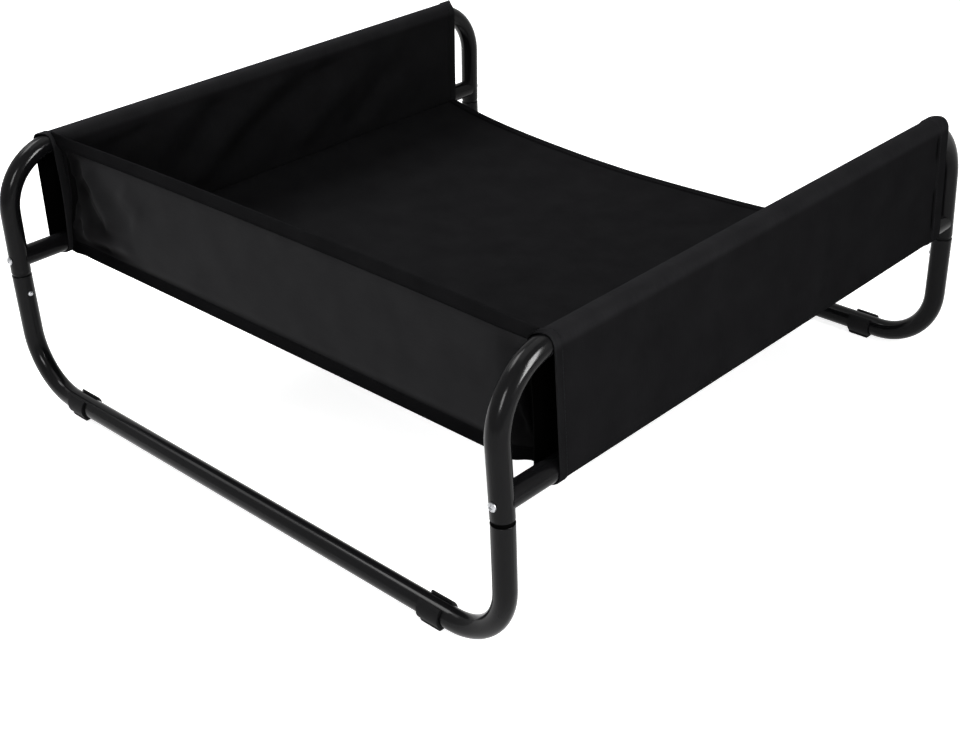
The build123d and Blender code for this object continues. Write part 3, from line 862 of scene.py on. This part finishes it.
# %% Sew the bed
def bed():
    """The bed cloth with its front hem and its stitches."""
    along = stations(0, DECK_LENGTH, 5 * MM, (0, DECK_LENGTH - DECK_HEM, DECK_LENGTH))
    turns = [DECK_FLAT + TURN_R * a for a in (0, 0.5, 1, pi / 2)] + [DECK_HALF_CUT - 4 * MM, DECK_HALF_CUT]
    across = stations(-DECK_HALF_CUT, DECK_HALF_CUT, 5 * MM, [s * t for s in (-1, 1) for t in turns])[::-1]
    length, width = grid_of(along, across)
    end = DECK_LENGTH - length
    hem = in_hem(end, DECK_HEM)
    edge = rounded(np.minimum(np.minimum(end, length), DECK_HALF_CUT - np.abs(width)))
    groove = bell(end, DECK_HEM - STITCH_IN, 0.9 * MM)
    front_lift = HALF * edge + 0.15 * MM * hem * rounded(end) - 0.8 * MM * groove
    middle = bed_shape(length, width)
    out = facing(middle)
    front = middle + out * front_lift[..., None]
    back = middle - out * ((HALF + 0.9 * MM * hem) * edge)[..., None]
    # A slightly darker tone on the hem, and painted shade in a line along the front hem's stitch groove
    painted_light_and_tone = 1 - 0.12 * hem - 0.7 * bell(end, DECK_HEM - 1 * MM, 2.2 * MM)
    paints = np.full(length.shape, WOVEN), np.where(hem > 0.5, WOVEN, COATED)
    made = cloth_piece("bed_cloth", front, back, np.stack([width, length], -1), painted_light_and_tone, *paints)
    row = int(np.argmin(np.abs(along - (DECK_LENGTH - DECK_HEM + STITCH_IN))))
    flat = np.abs(across) < DECK_FLAT
    # The last number is a painted shade factor on the thread colour
    thread = sew("bed_cloth_stitches", [(front[row, flat], out[row, flat])], 0.5)
    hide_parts("bed_deck")


bed()
print("the bed was cut", round(2 * DECK_HALF_CUT / MM), "by", round((DECK_LENGTH + DECK_HEM) / MM), "mm")

# %% [markdown]
# ## The back wall
# The wall shows the coated back of the cloth outside, so it is paler and shinier than the rest. Its
# hems are folded to the outside and show the woven face. It is gathered where it meets each sleeve,
# with a deep crease beside the seam and folds that fan out from the corners. Along the bottom it
# is drawn in by the bed, and its top hem bows in between the sleeves.

# %% Shape of the wall
wall_low, wall_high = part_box("back_wall")
WALL_Y = (wall_low.y + wall_high.y) / 2
WALL_BOTTOM, WALL_TOP = wall_low.z - 1.0 * MM, wall_high.z + 2.5 * MM
WALL_HEIGHT = WALL_TOP - WALL_BOTTOM
TOP_HEM, BOTTOM_HEM = 18 * MM, 15 * MM
# Painted shade in hollows of the left corner: X, Z, half width and half height in mm, and how dark
SHADED_HOLLOWS = ((-345, 282, 20, 15, 0.78), (-311, 234, 17, 13, 0.72), (-320, 203, 60, 9, 0.9))


def end_return(x, z):
    """How far each end of the wall turns in to its seam on a sleeve, in metres."""
    high = smooth(z, 192 * MM, 268 * MM) * (1 - smooth(z, 306 * MM, 327 * MM))
    return (1.5 + 10.5 * high) * MM * smooth(np.abs(x), 344 * MM, 396 * MM)


def corner_folds(x, z):
    """Gathers in the left corner of the wall, in metres, outwards positive."""
    pulls = fold(x, z, [(-369, 326), (-366, 314), (-366, 302), (-371, 288)], 5, 3.8, 0.2)
    pulls += fold(x, z, [(-377, 296), (-378, 264), (-385, 238), (-391, 216)], 5, -5.0, 0.15)
    pulls += fold(x, z, [(-368, 256), (-377, 240), (-384, 226), (-388, 212)], 5, 4.0, 0.2)
    pulls += fold(x, z, [(-354, 322), (-350, 308), (-343, 292)], 11, -3.4)
    pulls += fold(x, z, [(-336, 322), (-330, 304), (-318, 284), (-303, 256), (-288, 228)], 16, 5.0, 0.2)
    pulls += fold(x, z, [(-350, 286), (-338, 264), (-322, 246), (-302, 234)], 15, -3.4, 0.25)
    pulls += fold(x, z, [(-292, 290), (-280, 274), (-264, 260), (-246, 250)], 16, -2.4, 0.3)
    pulls += fold(x, z, [(-268, 306), (-248, 286), (-222, 272)], 20, 1.8)
    pulls += fold(x, z, [(-342, 300), (-332, 290), (-321, 277)], 4.5, -1.7)
    pulls += fold(x, z, [(-336, 272), (-324, 256), (-308, 240)], 6, 1.5)
    pulls += fold(x, z, [(-366, 219), (-352, 230), (-334, 240)], 7, 2.8)
    pulls += fold(x, z, [(-375, 234), (-371, 223), (-367, 212)], 6, -2.4)
    pulls += fold(x, z, [(-376, 213), (-338, 217), (-292, 221), (-250, 224)], 9, 3.0, 0.2)
    pulls += fold(x, z, [(-384, 199), (-345, 203), (-300, 207)], 8, -2.4, 0.2)
    return pulls


def spot(x, z, x_mm, z_mm, wide, tall):
    """1 at a place on the wall, falling away over an oval. All four sizes are in mm."""
    return bell(np.hypot((x - x_mm * MM) / wide, (z - z_mm * MM) / tall), 0, MM)


def corner_painted_light(x, z):
    """Painted light of the gathered cloth: painted shadow in the left corner, painted shade at the right end and in
    the hollows, and a painted highlight on one fold, beside 1 on the rest.
    """
    # Painted shadow of the left sleeve and its post, fading out along the wall
    corner = smooth(x, -382 * MM, (-262 - 22 * smooth(z, 230 * MM, 300 * MM)) * MM)
    # Painted shade low on the right end, which turns away from the light
    shaded = 1 - 0.8 * smooth(x, 346 * MM, 364 * MM) * (1 - smooth(z, 262 * MM, 300 * MM))
    for *oval, share in SHADED_HOLLOWS:
        shaded = shaded * (1 - share * spot(x, z, *oval))
    # Painted highlight where a fold in the left corner catches the light
    caught = 0.4 * spot(x, z, -366, 222, 17, 22)
    return (0.16 + 0.84 * corner) * shaded + caught


print("the wall stands", round(WALL_BOTTOM / MM, 1), "to", round(WALL_TOP / MM, 1), "mm above the floor")

# %% How the wall is pushed out of flat
def wall_push(x, z, height, end):
    """How far each place of the wall stands out of its bowed plane, in metres."""
    share = height / WALL_HEIGHT
    panel = smooth(height, BOTTOM_HEM, BOTTOM_HEM + 9 * MM) * smooth(WALL_HEIGHT - height, TOP_HEM, TOP_HEM + 6 * MM)
    free = smooth(end, 0, 6 * MM)
    gathered = (0.2 + 0.8 * panel) * free
    right_end = smooth(x, 358 * MM, 380 * MM) * (1 - smooth(z, 270 * MM, 296 * MM))
    push = corner_folds(x, z) * gathered
    push += corner_folds(-x, z + 5 * MM * np.sin(x / (37 * MM))) * gathered * right_end
    push += panel * (unevenness(x, z, 70, 0.28, 31) + unevenness(x, z, 30, 0.06, 32))
    push += 1.8 * MM * np.sin(pi * share) * free
    push -= 3.2 * MM * bell(height, BOTTOM_HEM, 7 * MM) * free
    return push - 0.7 * MM * bell(height, WALL_HEIGHT - TOP_HEM, 4 * MM)


def wall_painted_light_and_tone(x, z, height, across, top_hem):
    """Painted light of the wall: the corner's painted light, weaker on the hems, a darker tone on the top hem, and
    painted shade along the bottom hem and just above it.
    """
    # Painted shade along the bottom hem and just above it, deeper towards the ends
    low = 1 - smooth(height, BOTTOM_HEM - 6 * MM, BOTTOM_HEM + 9 * MM)
    with_painted_light = corner_painted_light(x, z) ** (1 - 0.65 * np.maximum(top_hem, low))
    return with_painted_light * (1 - 0.24 * top_hem) * (1 - (0.48 + 0.2 * across) * low)


print("the wall bows in by", round(float(wall_bow(0.0, 1.0) / MM), 1), "mm at the top")

# %% Sew the wall
def wall():
    """The back wall with its hems and stitches."""
    heights = stations(0, WALL_HEIGHT, 2.2 * MM, (0, BOTTOM_HEM, WALL_HEIGHT - TOP_HEM, WALL_HEIGHT))
    widths = set(stations(-1, 1, 2.4 * MM / WALL_HALF))
    widths |= {s * (1 - d * MM / WALL_HALF) for s in (-1, 1) for d in (0.3, 0.7, 1.2)}
    height, width = grid_of(heights, np.array(sorted(widths))[::-1])
    share = height / WALL_HEIGHT
    rough_x = width * WALL_HALF
    # The foot of the wall is drawn up at its right end and dips a little at its left
    lift = 10 * MM * smooth(rough_x, 352 * MM, 392 * MM) - 3 * MM * bell(rough_x, -386 * MM, 14 * MM)
    z = WALL_BOTTOM + height + lift * (1 - share) ** 3
    half_width = sleeve_face(z) - 0.35 * MM
    x = width * half_width
    end = half_width - np.abs(x)
    y = WALL_Y + wall_bow(x, share) + end_return(x, z) - wall_push(x, z, height, end)
    top_hem, bottom_hem = in_hem(WALL_HEIGHT - height, TOP_HEM), in_hem(height, BOTTOM_HEM)
    raised = np.maximum(top_hem, bottom_hem)
    sewn_at = (BOTTOM_HEM - STITCH_IN, WALL_HEIGHT - TOP_HEM + STITCH_IN)
    groove = sum(bell(height, spot_z, 0.8 * MM) for spot_z in sewn_at)
    edge = rounded(np.minimum(np.minimum(height, WALL_HEIGHT - height), end))
    middle = np.stack([x, y, z], -1)
    out = facing(middle)
    front = middle + out * ((HALF + 0.7 * MM * raised) * edge - 0.4 * MM * groove)[..., None]
    back = middle - out * (HALF * edge)[..., None]
    paints = np.where(raised > 0.5, WOVEN, COATED), np.full(x.shape, WOVEN)
    painted_light_and_tone = wall_painted_light_and_tone(x, z, height, np.abs(width), top_hem)
    made = cloth_piece("back_wall_cloth", front, back, np.stack([x, height], -1), painted_light_and_tone, *paints)
    rows = [int(np.argmin(np.abs(heights - spot_z))) for spot_z in sewn_at]
    # The last number is a painted shade factor on the thread colour
    thread = sew("back_wall_cloth_stitches", [(front[row], out[row]) for row in rows], 0.3)
    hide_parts("back_wall")


wall()
print("the wall was cut", round(2 * WALL_HALF / MM), "by", round((WALL_HEIGHT + TOP_HEM + BOTTOM_HEM) / MM), "mm")
